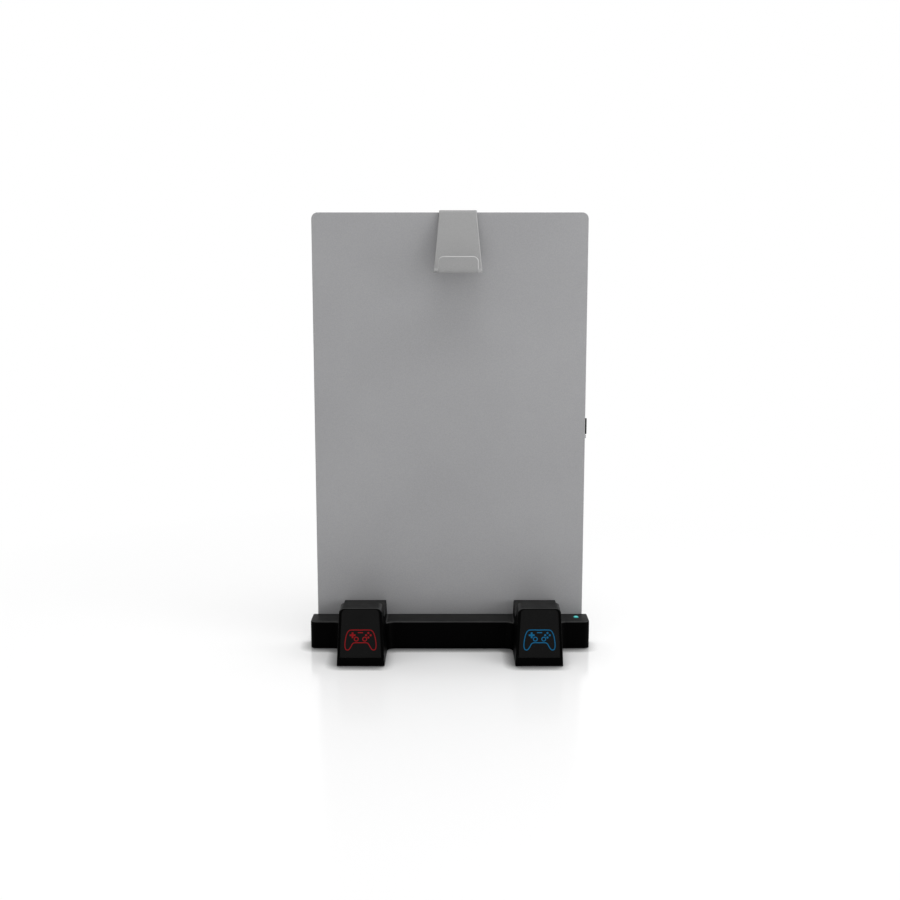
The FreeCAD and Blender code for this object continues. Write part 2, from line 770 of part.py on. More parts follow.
def status_light_pipe():
    """A clear pipe from the lamp to the top of the bar, with a flange under the wall."""
    y = panel_y - light_reach
    under = bar_top - case_wall
    head = obround(light_x, y, light_width, light_depth, under - light_flange, bar_top + light_rise)
    rim = [edge for edge in head.Edges if near(edge.BoundBox.ZMin, bar_top + light_rise)]
    head = head.makeChamfer(light_rise, rim)
    wide = light_width / 2 + light_lip
    deep = light_depth / 2 + light_lip
    flange = box((light_x - wide, light_x + wide), (y - deep, y + deep), (under - light_flange, under))
    foot = board_top + led_size[2] + fit
    stem = rod(light_stem, (light_x, y, foot), (0, 0, 1), under - light_flange - foot, screw_flat_count)
    return head.fuse([flange, stem]).removeSplitter()


shared = [back_panel, hanger_hook, cable_clip, panel_screws, tray_pads, tray_feet,
          dock_top_case, dock_base_plate, base_plate_screws, dock_feet, main_board, main_board_chips,
          board_screws, power_inlet, power_inlet_core, status_lamp, status_light_pipe]
per_tower = [front_plate, light_box, led_board, sign_lamps, sign_lead,
             contact_block, contact_blades, contact_board, contact_lead]

nodes = {make.__name__: make() for make in shared}
for hand, tower_centre in tower_x.items():
    for make in per_tower:
        nodes[hand + "_" + make.__name__] = make(tower_centre)

os.makedirs("parts", exist_ok=True)
for node, shape in nodes.items():
    shape.exportStep("parts/" + node + ".step")
    state = "valid" if shape.isValid() else "NOT VALID"
    print(node, state, len(shape.Solids), "solids", round(shape.Volume), "mm3")
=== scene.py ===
# %% [markdown]
# # A console stand, dressed
#
# The stand is a folded sheet of painted steel with a hanger over its top edge, and a black moulded dock at
# its foot.  Its solids come in as a fixed frame, in metres.  This lesson keeps their shapes and gives each
# one the finish of the real thing.  Then it adds what is too fine for the solids: the lit signs, the cross
# recesses of the screws, the ribs of the rubber and the strips in the power socket.

# %% Load the solids
import math

import bmesh
import bpy
import numpy as np
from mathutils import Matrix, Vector


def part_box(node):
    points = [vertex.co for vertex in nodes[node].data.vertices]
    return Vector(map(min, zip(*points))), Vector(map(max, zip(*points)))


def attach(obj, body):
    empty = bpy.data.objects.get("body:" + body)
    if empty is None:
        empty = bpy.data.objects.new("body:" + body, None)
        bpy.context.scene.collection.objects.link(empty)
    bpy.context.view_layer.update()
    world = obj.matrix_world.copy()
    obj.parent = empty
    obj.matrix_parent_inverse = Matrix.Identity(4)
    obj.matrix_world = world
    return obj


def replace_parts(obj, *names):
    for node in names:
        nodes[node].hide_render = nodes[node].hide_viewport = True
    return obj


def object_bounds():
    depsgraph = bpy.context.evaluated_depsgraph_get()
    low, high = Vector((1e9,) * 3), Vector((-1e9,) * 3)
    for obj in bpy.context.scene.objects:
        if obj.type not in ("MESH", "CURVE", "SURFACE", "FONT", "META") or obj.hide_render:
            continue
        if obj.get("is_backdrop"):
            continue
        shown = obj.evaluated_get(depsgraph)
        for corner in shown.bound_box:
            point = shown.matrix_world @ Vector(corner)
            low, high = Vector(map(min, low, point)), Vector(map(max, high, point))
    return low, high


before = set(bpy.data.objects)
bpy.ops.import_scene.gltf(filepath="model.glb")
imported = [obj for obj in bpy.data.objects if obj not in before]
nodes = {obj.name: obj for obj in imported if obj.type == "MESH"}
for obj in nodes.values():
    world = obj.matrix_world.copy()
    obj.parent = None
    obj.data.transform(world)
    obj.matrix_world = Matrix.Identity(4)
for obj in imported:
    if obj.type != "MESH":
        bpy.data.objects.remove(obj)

mm = 0.001
cad_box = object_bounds()


def in_mm(lengths):
    """Lengths in metres as rounded millimetres, for printing."""
    return [round(float(length) / mm, 1) for length in lengths]


print("solids:", len(nodes), "box in mm:", in_mm(b - a for a, b in zip(*cad_box)))

# %% [markdown]
# ## The camera
#
# The photograph is taken from straight in front, a little above the middle of the panel, and looks down by
# nine degrees.  The panel's sides lean together towards the floor.  That lean, with the height of the dock's
# top, gives the distance, so the lens follows from the width of the panel in the picture.

# %% Camera
lens, sensor_width = 46.6, 36.0
camera_place = (0.0, -1.13075, 0.363)
camera_tilt = math.radians(81.2)

camera_data = bpy.data.cameras.new("camera")
camera_data.lens = lens
camera_data.sensor_width = sensor_width
camera = bpy.data.objects.new("camera", camera_data)
camera.location = camera_place
camera.rotation_euler = (camera_tilt, 0.0, 0.0)
bpy.context.collection.objects.link(camera)
bpy.context.scene.camera = camera
bpy.context.scene.view_settings.view_transform = "Standard"
print("camera stands", round(-camera_place[1], 3), "m in front")

# %% [markdown]
# ## The studio
#
# The stand is on white acrylic in a white room.  Soft light from all round lets each colour render about as
# it is written.  One broad lamp above gives the floor its shadow, and a low one on the right gives the hanger
# a soft shadow to its left.  What the camera and the reflections see of the room is plain white, by way of
# the Light Path node.

# %% Helpers for node trees
def add(tree, kind, place=(0, 0), **settings):
    """Adds a node of a kind at a place, with settings by attribute name."""
    node = tree.nodes.new(kind)
    node.location = place
    for name, value in settings.items():
        setattr(node, name, value)
    return node


def feed(tree, socket, value):
    """Gives an input another socket to follow, or a plain value."""
    if isinstance(value, bpy.types.NodeSocket):
        tree.links.new(value, socket)
    else:
        socket.default_value = value


def mix_colour(tree, factor, first, second, place=(0, 0), blend="MIX"):
    """Mixes two colours; each argument is a socket or a plain value.  Returns the result socket."""
    node = add(tree, "ShaderNodeMix", place, data_type="RGBA", blend_type=blend)
    for index, value in ((0, factor), (6, first), (7, second)):
        feed(tree, node.inputs[index], value)
    return node.outputs[2]


def mix_shader(tree, factor, first, second, place=(0, 0)):
    """Mixes two shaders by a factor, all three sockets.  Returns the result socket."""
    node = add(tree, "ShaderNodeMixShader", place)
    for socket, value in zip(node.inputs, (factor, first, second)):
        tree.links.new(value, socket)
    return node.outputs[0]


def spread(tree, value, low, high, to_low, to_high, place=(0, 0)):
    """Maps a value from one range to another, clamped.  Returns the result socket."""
    node = add(tree, "ShaderNodeMapRange", place)
    tree.links.new(value, node.inputs["Value"])
    for name, number in (("From Min", low), ("From Max", high), ("To Min", to_low), ("To Max", to_high)):
        node.inputs[name].default_value = number
    return node.outputs["Result"]


def maths(tree, operation, first, second, place=(0, 0)):
    """One sum on two sockets or numbers.  Returns the result socket."""
    node = add(tree, "ShaderNodeMath", place, operation=operation)
    for socket, value in zip(node.inputs, (first, second)):
        feed(tree, socket, value)
    return node.outputs[0]


def parts_of(tree, vector, place=(0, 0)):
    """The X, Y and Z sockets of a vector."""
    node = add(tree, "ShaderNodeSeparateXYZ", place)
    tree.links.new(vector, node.inputs[0])
    return node.outputs


def grey(value):
    """A neutral colour."""
    return (value, value, value, 1.0)


print("helpers ready")

# %% World
room_strength, seen_strength = 0.67, 1.0

world = bpy.data.worlds.new("white_room")
bpy.context.scene.world = world
world.use_nodes = True
tree = world.node_tree
tree.nodes.clear()


def seen_directly(tree):
    """1 for what the camera, a reflection or a look through glass sees, 0 for light that falls on things."""
    path = add(tree, "ShaderNodeLightPath", (-600, 400))
    seen = maths(tree, "MAXIMUM", path.outputs["Is Camera Ray"], path.outputs["Is Glossy Ray"], (-400, 400))
    return maths(tree, "MAXIMUM", seen, path.outputs["Is Transmission Ray"], (-200, 400))


def white_background(tree, strength):
    """A white room of a strength.  Returns its shader socket."""
    node = add(tree, "ShaderNodeBackground")
    node.inputs["Color"].default_value = grey(1.0)
    node.inputs["Strength"].default_value = strength
    return node.outputs[0]


room = [white_background(tree, strength) for strength in (room_strength, seen_strength)]
output = add(tree, "ShaderNodeOutputWorld")
tree.links.new(mix_shader(tree, seen_directly(tree), *room), output.inputs["Surface"])
print("room light", room_strength)

# %% Helpers for materials
def new_material(name):
    """A material with one Principled BSDF.  Returns the material, its tree and the shader."""
    material = bpy.data.materials.new(name)
    material.use_nodes = True
    return material, material.node_tree, material.node_tree.nodes["Principled BSDF"]


def object_coordinates(tree, place=(-1000, 0)):
    """The piece's own coordinates, in metres."""
    return add(tree, "ShaderNodeTexCoord", place).outputs["Object"]


def surface_normal(tree, place=(-1000, 0)):
    """The direction that the surface faces."""
    return add(tree, "ShaderNodeNewGeometry", place).outputs["Normal"]


def noise(tree, coordinates, scale, detail=2.0):
    """Soft noise with a number of waves per metre.  Returns its value socket."""
    node = add(tree, "ShaderNodeTexNoise", (-800, 0))
    node.inputs["Scale"].default_value = scale
    node.inputs["Detail"].default_value = detail
    tree.links.new(coordinates, node.inputs["Vector"])
    return node.outputs["Fac"]


print("material helpers ready")

# %% [markdown]
# The floor is almost white and a little glossy.  Far from the stand it fades into the white of the room.
# Close to the stand it darkens: the Ambient Occlusion node looks backwards and to the right for something
# near, and the narrow shadow in front of the dock and on its left follows from what it finds.

# %% Floor
floor_reach = 6.0
floor_roughness, floor_waves = 0.16, 3.0
fade_from, fade_to = 0.1, 0.7
contact_reach = 12 * mm
contact_look = {"X": 0.42, "Y": 0.86, "Z": 0.3}
contact_power, contact_least = 2.0, 0.2

floor_paint, tree, shader = new_material("white_acrylic")
shader.inputs["Roughness"].default_value = floor_roughness
where = object_coordinates(tree)
pale = mix_colour(tree, noise(tree, where, floor_waves), grey(0.96), grey(0.985), (-500, 0))
look = add(tree, "ShaderNodeCombineXYZ", (-900, -300))
for axis, part in contact_look.items():
    look.inputs[axis].default_value = part
contact = add(tree, "ShaderNodeAmbientOcclusion", (-700, -300))
contact.inputs["Distance"].default_value = contact_reach
tree.links.new(look.outputs[0], contact.inputs["Normal"])
shade = maths(tree, "POWER", contact.outputs["AO"], contact_power, (-500, -300))
shade = maths(tree, "MAXIMUM", shade, contact_least, (-350, -300))
tree.links.new(mix_colour(tree, 1.0, pale, shade, (-200, 0), "MULTIPLY"), shader.inputs["Base Color"])

distance = add(tree, "ShaderNodeVectorMath", (-800, 300), operation="LENGTH")
tree.links.new(where, distance.inputs[0])
far = spread(tree, distance.outputs["Value"], fade_from, fade_to, 0.0, 1.0, (-600, 300))
far = maths(tree, "MULTIPLY", far, seen_directly(tree))
white = add(tree, "ShaderNodeEmission", (0, 300))
floor_look = mix_shader(tree, far, shader.outputs[0], white.outputs[0], (300, 300))
tree.links.new(floor_look, tree.nodes["Material Output"].inputs["Surface"])

floor_mesh = bpy.data.meshes.new("floor")
corners = np.array([(-1, -1, 0), (1, -1, 0), (1, 1, 0), (-1, 1, 0)]) * floor_reach
floor_mesh.from_pydata(corners.tolist(), [], [(0, 1, 2, 3)])
floor_mesh.materials.append(floor_paint)
floor = bpy.data.objects.new("floor", floor_mesh)
bpy.context.collection.objects.link(floor)
floor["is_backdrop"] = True
print("floor", 2 * floor_reach, "m wide")

# %% Lamps
lamps = {
    "top_lamp": dict(place=(0.25, -0.35, 1.9), aim=(0.0, 0.0, 0.1), size=1.6, power=16.0),
    "right_lamp": dict(place=(1.7, -1.0, 0.45), aim=(0.0, 0.0, 0.25), size=1.0, power=14.5),
    "left_lamp": dict(place=(-1.7, -1.2, 0.9), aim=(0.0, 0.0, 0.15), size=1.0, power=1.5),
}


def soft_lamp(name, place, aim, size, power):
    """A square lamp that looks at a point."""
    data = bpy.data.lights.new(name, "AREA")
    data.shape = "SQUARE"
    data.size = size
    data.energy = power
    lamp = bpy.data.objects.new(name, data)
    lamp.location = place
    lamp.rotation_euler = (Vector(aim) - Vector(place)).to_track_quat("-Z", "Y").to_euler()
    bpy.context.collection.objects.link(lamp)


for name, settings in lamps.items():
    soft_lamp(name, **settings)
print("lamps:", list(lamps))

# %% [markdown]
# ## Shared surface effects
#
# Three effects turn up on more than one finish, so each is a node group that is built once.  Grain is the
# fine pebbled skin of spark-eroded moulds and of powder coat.  Mottle is the slow drift of tone over a large
# surface.  The third is a pale film on whatever faces upwards, partly settled dust and partly painted top
# light, as if a lamp above lit those faces, with a painted highlight on rounded edges that look partly up.

# %% Node groups
NUMBER = "NodeSocketFloat"
COLOUR = "NodeSocketColor"


def new_group(name, inputs, outputs):
    """A shader node group with named sockets.  Returns the group, its input node and its output node."""
    group = bpy.data.node_groups.new(name, "ShaderNodeTree")
    for label, kind, value in inputs:
        group.interface.new_socket(label, in_out="INPUT", socket_type=kind).default_value = value
    for label, kind in outputs:
        group.interface.new_socket(label, in_out="OUTPUT", socket_type=kind)
    return group, add(group, "NodeGroupInput", (-1200, 0)), add(group, "NodeGroupOutput", (400, 0))


print("groups can be built")

# %% Grain
grain_group, source, result = new_group(
    "grain",
    [("Scale", NUMBER, 1500.0), ("Peel", NUMBER, 0.3)],
    [("Height", NUMBER), ("Speck", NUMBER)])
where = object_coordinates(grain_group)
fine = add(grain_group, "ShaderNodeTexNoise", (-700, 200))
fine.inputs["Detail"].default_value = 3.0
cells = add(grain_group, "ShaderNodeTexVoronoi", (-700, -200), feature="SMOOTH_F1")
for node in (fine, cells):
    grain_group.links.new(where, node.inputs["Vector"])
    grain_group.links.new(source.outputs["Scale"], node.inputs["Scale"])
pebbles = maths(grain_group, "MULTIPLY", cells.outputs["Distance"], source.outputs["Peel"], (-450, -200))
height = maths(grain_group, "ADD", fine.outputs["Fac"], pebbles, (-250, 0))
speck = spread(grain_group, fine.outputs["Fac"], 0.35, 0.65, 0.0, 1.0, (-250, 250))
grain_group.links.new(height, result.inputs["Height"])
grain_group.links.new(speck, result.inputs["Speck"])
print("grain nodes:", len(grain_group.nodes))

# %% Mottle
mottle_group, source, result = new_group(
    "mottle",
    [("Dark", COLOUR, grey(0.4)), ("Light", COLOUR, grey(0.5)), ("Scale", NUMBER, 20.0)],
    [("Colour", COLOUR), ("Drift", NUMBER)])
clouds = add(mottle_group, "ShaderNodeTexNoise", (-700, 0))
clouds.inputs["Detail"].default_value = 4.0
mottle_group.links.new(object_coordinates(mottle_group), clouds.inputs["Vector"])
mottle_group.links.new(source.outputs["Scale"], clouds.inputs["Scale"])
drift = spread(mottle_group, clouds.outputs["Fac"], 0.3, 0.7, 0.0, 1.0, (-450, 0))
tone = mix_colour(mottle_group, drift, source.outputs["Dark"], source.outputs["Light"])
mottle_group.links.new(tone, result.inputs["Colour"])
mottle_group.links.new(drift, result.inputs["Drift"])
print("mottle nodes:", len(mottle_group.nodes))

# %% Settled dust and painted top light
# Painted top light, with some dust: faces that look up get a pale film, as if lit from above.
top_light_range, flat_range = (0.2, 0.55), (0.75, 1.0)
highlighted_factor = 2.2
patch_waves, patch_detail = 90.0, 5.0

dust_and_top_light_group, source, result = new_group(
    "settled_dust_and_top_light",
    [("Colour", COLOUR, grey(0.1)), ("Dust_and_lit_tone", COLOUR, grey(0.4)), ("Amount", NUMBER, 0.1)],
    [("Colour", COLOUR)])
rise = parts_of(dust_and_top_light_group, surface_normal(dust_and_top_light_group, (-1000, 200)), (-800, 200))["Z"]
lit_upward = spread(dust_and_top_light_group, rise, *top_light_range, 0.0, 1.0, (-600, 200))
# Painted highlight: faces that look only partly up, such as rounded edges, get the film more strongly.
highlighted = spread(dust_and_top_light_group, rise, *flat_range, highlighted_factor, 1.0, (-600, 400))
patches = noise(dust_and_top_light_group, object_coordinates(dust_and_top_light_group), patch_waves, patch_detail)
patches = spread(dust_and_top_light_group, patches, 0.35, 0.75, 0.85, 1.15, (-600, 0))
mask = lit_upward
for factor in (highlighted, patches, source.outputs["Amount"]):
    mask = maths(dust_and_top_light_group, "MULTIPLY", mask, factor, (-400, 300))
dusty_and_lit = mix_colour(dust_and_top_light_group, mask, source.outputs["Colour"], source.outputs["Dust_and_lit_tone"])
dust_and_top_light_group.links.new(dusty_and_lit, result.inputs["Colour"])
print("groups:", [group.name for group in bpy.data.node_groups])

# %% [markdown]
# ## Finishes
#
# A finish starts from one recipe: a mottled colour, a roughness that drifts with it and a grain that goes
# into a Bump node.  What sets the finishes apart are the numbers: powder coat is pale with a coarse peel,
# moulded plastic is nearly black with a fine spark grain, and the plates over the signs are smooth.  The
# hanger's paint also gets a painted highlight along the edges of its lip and of its sides.

# %% The recipe
def group_node(tree, group, place, **values):
    """Places a group and sets its inputs by name."""
    node = add(tree, "ShaderNodeGroup", place, node_tree=group)
    for name, value in values.items():
        node.inputs[name].default_value = value
    return node


def finish(name, dark, light, rough, grain=1500.0, peel=0.3, bump=0.2, depth=0.02, drift=20.0, dust_and_top_light=0.0,
           speck=0.0, specular=0.5, metallic=0.0):
    """A grained finish.  The colour drifts between dark and light, roughness between the two numbers in
    rough, and the grain, a number of pebbles per metre, stands depth millimetres high."""
    material, tree, shader = new_material(name)
    shader.inputs["Specular IOR Level"].default_value = specular
    shader.inputs["Metallic"].default_value = metallic
    tone = group_node(tree, mottle_group, (-900, 200), Dark=dark, Light=light, Scale=drift)
    skin = group_node(tree, grain_group, (-900, -200), Scale=grain, Peel=peel)
    colour = tone.outputs["Colour"]
    if speck > 0:
        fleck = spread(tree, skin.outputs["Speck"], 0.0, 1.0, 1.0 - speck, 1.0 + speck, (-650, 0))
        colour = mix_colour(tree, 1.0, colour, fleck, (-500, 200), "MULTIPLY")
    # Painted top light with some dust: a pale film on upward faces and a painted highlight on rounded edges.
    if dust_and_top_light > 0:
        dust_and_top_light_node = group_node(tree, dust_and_top_light_group, (-350, 200), Amount=dust_and_top_light)
        tree.links.new(colour, dust_and_top_light_node.inputs["Colour"])
        colour = dust_and_top_light_node.outputs["Colour"]
    tree.links.new(colour, shader.inputs["Base Color"])
    roughness = spread(tree, tone.outputs["Drift"], 0.0, 1.0, *rough, (-350, 0))
    tree.links.new(roughness, shader.inputs["Roughness"])
    relief = add(tree, "ShaderNodeBump", (-350, -250))
    relief.inputs["Strength"].default_value = bump
    relief.inputs["Distance"].default_value = depth * mm
    tree.links.new(skin.outputs["Height"], relief.inputs["Height"])
    tree.links.new(relief.outputs["Normal"], shader.inputs["Normal"])
    return material


def dress(material, *names):
    """Puts a finish in every slot of the named solids."""
    for name in names:
        for slot in nodes[name].material_slots:
            slot.material = material


def both(name):
    """The left and the right solid of a name."""
    return ["left_" + name, "right_" + name]


print("recipe ready")

# %% Painted edge highlight
# The hanger's painted highlight: edges that look half forwards are paler, except where they look down.
edge_range, under_range = (0.12, 0.2), (-0.3, -0.1)
side_weight = 0.6
lip_blend = 2 * mm
highlight_waves = 120.0


def paint_edge_highlight(material, highlight_colour, lip_y):
    """Paints a highlight along a finish's edges.  An edge looks half forwards, so the square of the normal's
    forward part, times one less that square, comes near a quarter.  It shows in full in front of lip_y, and
    behind it on edges that look aside; what looks down gets none."""
    tree, shader = material.node_tree, material.node_tree.nodes["Principled BSDF"]
    paint = shader.inputs["Base Color"].links[0].from_socket
    where = object_coordinates(tree, (-1300, 900))
    facing = parts_of(tree, surface_normal(tree, (-1300, 600)), (-1100, 600))
    forward = maths(tree, "MULTIPLY", facing["Y"], facing["Y"], (-900, 600))
    other = maths(tree, "SUBTRACT", 1.0, forward, (-750, 700))
    corner = maths(tree, "MULTIPLY", forward, other, (-600, 600))
    edge = spread(tree, corner, *edge_range, 0.0, 1.0, (-450, 600))
    not_under = spread(tree, facing["Z"], *under_range, 0.0, 1.0, (-450, 850))
    place_y = parts_of(tree, where, (-1100, 900))["Y"]
    at_lip = spread(tree, place_y, lip_y, lip_y + lip_blend, 1.0, 0.0, (-900, 900))
    aside = maths(tree, "ABSOLUTE", facing["X"], 0.0, (-900, 400))
    aside = maths(tree, "MULTIPLY", aside, side_weight, (-750, 400))
    weight = maths(tree, "MAXIMUM", at_lip, aside, (-600, 400))
    patches = spread(tree, noise(tree, where, highlight_waves), 0.35, 0.65, 0.8, 1.0, (-450, 1100))
    for factor in (not_under, weight, patches):
        edge = maths(tree, "MULTIPLY", edge, factor, (-250, 600))
    tree.links.new(mix_colour(tree, edge, paint, highlight_colour, (-100, 350)), shader.inputs["Base Color"])


print("edges can be rubbed")

# %% Painted steel, moulded plastic and smoked plates
lip_depth = 4 * mm
coat = dict(rough=(0.42, 0.5), grain=1400.0, peel=0.5, bump=0.25, depth=0.03, drift=9.0, speck=0.05,
            specular=0.35)
silver_paint = finish("satin_silver_paint", (0.276, 0.276, 0.283, 1.0), (0.3, 0.3, 0.307, 1.0), **coat)
hanger_paint = finish("highlighted_silver_paint", grey(0.266), grey(0.29), **coat)
low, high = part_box("hanger_hook")
# Painted highlight on the hanger's edges, paler than its paint.
paint_edge_highlight(hanger_paint, grey(0.42), low.y + lip_depth)
# The moulding's upward faces and rounded edges get painted top light and a painted highlight.
black_case = finish("black_moulding", grey(0.0006), grey(0.0009), (0.34, 0.42), grain=2600.0, peel=0.4,
                    bump=0.3, depth=0.012, drift=30.0, dust_and_top_light=0.05, specular=0.012)
smoked_plate = finish("smoked_plate", grey(0.0032), grey(0.0042), (0.2, 0.26), grain=700.0, peel=0.1,
                      bump=0.05, depth=0.004, drift=45.0, specular=0.06)
dress(silver_paint, "back_panel")
dress(hanger_paint, "hanger_hook")
dress(black_case, "dock_top_case", "dock_base_plate")
dress(smoked_plate, *both("front_plate"))
print("shell finishes:", silver_paint.name, hanger_paint.name, black_case.name, smoked_plate.name)

# %% Rubber, boards and metal
# The rubber's upward faces get a little painted top light as well.
black_rubber = finish("black_rubber", grey(0.012), grey(0.02), (0.75, 0.9), grain=1800.0, peel=0.6,
                      bump=0.5, depth=0.03, drift=60.0, dust_and_top_light=0.035, specular=0.2)
white_plastic = finish("white_reflector", grey(0.74), grey(0.8), (0.4, 0.5), drift=80.0, bump=0.1)
contact_plastic = finish("contact_plastic", grey(0.006), grey(0.01), (0.3, 0.4), grain=3000.0, bump=0.2,
                         drift=90.0, specular=0.3)
plated_steel = finish("plated_steel", (0.42, 0.41, 0.39, 1.0), (0.5, 0.49, 0.47, 1.0), (0.25, 0.38),
                      grain=3500.0, bump=0.15, depth=0.008, drift=400.0, metallic=1.0)
gilt = finish("gilt_contact", (0.82, 0.55, 0.2, 1.0), (0.9, 0.64, 0.28, 1.0), (0.18, 0.3),
              grain=5000.0, bump=0.1, depth=0.004, drift=500.0, metallic=1.0)
circuit_board = finish("green_board", (0.006, 0.05, 0.02, 1.0), (0.012, 0.09, 0.035, 1.0), (0.3, 0.42),
                       drift=350.0, bump=0.2)
chip_black = finish("chip_black", grey(0.012), grey(0.02), (0.5, 0.6), grain=4000.0, bump=0.3, drift=300.0)
lamp_white = finish("lamp_white", (0.8, 0.76, 0.55, 1.0), (0.86, 0.82, 0.62, 1.0), (0.25, 0.35), drift=900.0)
ribbon_grey = finish("ribbon_grey", grey(0.16), grey(0.3), (0.4, 0.5), drift=600.0, bump=0.2)
dress(white_plastic, *both("light_box"))
dress(contact_plastic, "power_inlet_core", *both("contact_block"))
dress(plated_steel, "panel_screws", "base_plate_screws", "board_screws", "power_inlet")
dress(gilt, *both("contact_blades"))
dress(circuit_board, "main_board", *both("led_board"), *both("contact_board"))
dress(chip_black, "main_board_chips")
dress(lamp_white, "status_lamp", *both("sign_lamps"))
dress(ribbon_grey, *both("sign_lead"), *both("contact_lead"))
print("finishes:", len(bpy.data.materials))

# %% [markdown]
# ## Lights on the dock
#
# The status light is a clear pipe whose top glows cyan.  It is brightest in its middle, so the glow follows
# the distance from the pipe's axis.  The signs glow in the same way from their middle, but hardly fade.

# %% Glowing finishes
glow_strength, glow_roughness, glow_specular = 1.0, 0.3, 0.03
unlit_middle, unlit_edge = grey(0.003), grey(0.002)
status_reach = 3 * mm


def glowing(name, colour, edge, centre, reach):
    """A finish that glows from colour at an upright centre line to edge at a distance in metres from it."""
    material, tree, shader = new_material(name)
    shader.inputs["Roughness"].default_value = glow_roughness
    shader.inputs["Emission Strength"].default_value = glow_strength
    shader.inputs["Specular IOR Level"].default_value = glow_specular
    flat = add(tree, "ShaderNodeVectorMath", (-1000, 0), operation="MULTIPLY")
    flat.inputs[1].default_value = (1.0, 1.0, 0.0)
    tree.links.new(object_coordinates(tree, (-1200, 0)), flat.inputs[0])
    offset = add(tree, "ShaderNodeVectorMath", (-800, 0), operation="DISTANCE")
    offset.inputs[1].default_value = (centre[0], centre[1], 0.0)
    tree.links.new(flat.outputs[0], offset.inputs[0])
    near = spread(tree, offset.outputs["Value"], 0.0, reach, 0.0, 1.0, (-600, 0))
    lit = mix_colour(tree, near, colour, edge, (-400, 0))
    unlit = mix_colour(tree, near, unlit_middle, unlit_edge, (-400, 250))
    tree.links.new(lit, shader.inputs["Emission Color"])
    tree.links.new(unlit, shader.inputs["Base Color"])
    return material


low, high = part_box("status_light_pipe")
light_centre = (low + high) / 2
status_glow = glowing("status_glow", (0.195, 0.79, 0.77, 1.0), (0.02, 0.3, 0.28, 1.0), light_centre,
                      status_reach)
dress(status_glow, "status_light_pipe")
print("status light at", in_mm(light_centre), "mm")

# %% [markdown]
# ## The lit signs
#
# Each plate carries a line sign: a rounded body with two grips, a plus, four dots and two rings.  The sign is
# printed, so it is a set of flat strokes of even width that lie on the plate.  A stroke is a thin rectangle
# carried along a path, worked out for all points at once.

# %% Strokes
def smooth_loop(points, steps):
    """A closed curve through points: on each span, the cubic whose slope at a point is half the chord
    between that point's neighbours."""
    p1 = np.asarray(points, float)[:, None, :]
    p0, p2, p3 = np.roll(p1, 1, 0), np.roll(p1, -1, 0), np.roll(p1, -2, 0)
    t = np.linspace(0.0, 1.0, steps, endpoint=False)[None, :, None]
    slope = (p2 - p0) / 2
    bend = p0 - 2.5 * p1 + 2 * p2 - p3 / 2
    twist = 1.5 * (p1 - p2) + (p3 - p0) / 2
    return (p1 + t * slope + t**2 * bend + t**3 * twist).reshape(-1, 2)


def stroke(path, width, height, closed):
    """A rectangle of width and height carried along a path: each point moves half the width to either side
    along the normal of the path.  Returns points across, up and out, and four-sided faces."""
    path = np.asarray(path, float)
    ahead = np.roll(path, -1, 0) - np.roll(path, 1, 0) if closed else np.gradient(path, axis=0)
    ahead /= np.linalg.norm(ahead, axis=1, keepdims=True)
    across = np.stack([-ahead[:, 1], ahead[:, 0]], 1) * width / 2
    flat = np.stack([path + across, path - across, path - across, path + across], 1)
    out = np.broadcast_to(np.array([0.0, 0.0, height, height])[None, :, None], (len(path), 4, 1))
    points = np.concatenate([flat, out], 2).reshape(-1, 3)
    start = np.arange(len(path) if closed else len(path) - 1)[:, None] * 4
    onward = (start + 4) % (4 * len(path))
    corner = np.arange(4)[None, :]
    after = (corner + 1) % 4
    faces = np.stack([start + corner, start + after, onward + after, onward + corner], 2).reshape(-1, 4)
    if not closed:
        last = 4 * (len(path) - 1)
        faces = np.concatenate([faces, [[3, 2, 1, 0]], [[last, last + 1, last + 2, last + 3]]])
    return points, faces


def ring(centre, radius, steps=32):
    """A circle about a centre."""
    angle = np.linspace(0.0, 2 * np.pi, steps, endpoint=False)
    return np.stack([centre[0] + radius * np.cos(angle), centre[1] + radius * np.sin(angle)], 1)


print("loop of four corners:", smooth_loop([(1, 0), (0, 1), (-1, 0), (0, -1)], 8).shape)

# %% The drawing, in millimetres from its middle
line, bold, dot_line = 0.85, 1.7, 0.98
button_x, button_y = 7.3, 4.2
plus_reach, dot_reach, dot_radius = 2.7, 2.1, 0.5
ring_x, ring_y, ring_radius = 3.9, 0.6, 1.8
dash_reach, dash_y = 2.4, 6.6
body_steps, dot_steps = 10, 16

half_body = np.array([(0.0, 9.0), (6.0, 9.1), (10.4, 8.5), (12.7, 5.0), (14.0, -0.6), (14.4, -5.8),
                      (13.5, -9.0), (11.2, -9.4), (9.2, -7.1), (7.3, -3.8), (5.0, -2.8), (0.0, -2.8)])
body = np.concatenate([half_body, half_body[-2:0:-1] * (-1, 1)])
plus = np.array((-button_x, button_y))
dots = np.array((button_x, button_y)) + dot_reach * np.array([(1, 0), (0, 1), (-1, 0), (0, -1)])
drawing = [(smooth_loop(body, body_steps), line, True)]
drawing += [(ring((x, ring_y), ring_radius), line, True) for x in (-ring_x, ring_x)]
drawing += [(ring(dot, dot_radius, dot_steps), dot_line, True) for dot in dots]
drawing += [(np.array([plus + (-plus_reach, 0.0), plus + (plus_reach, 0.0)]), bold, False)]
drawing += [(np.array([plus + (0.0, bold / 2 * way), plus + (0.0, plus_reach * way)]), bold, False)
            for way in (-1, 1)]
drawing += [(np.array([(-dash_reach, dash_y), (dash_reach, dash_y)]), line, False)]
print("strokes in a sign:", len(drawing))

# %% Helpers for pieces
meeting = 0.0005 * mm
sharp_angle = math.radians(50.0)


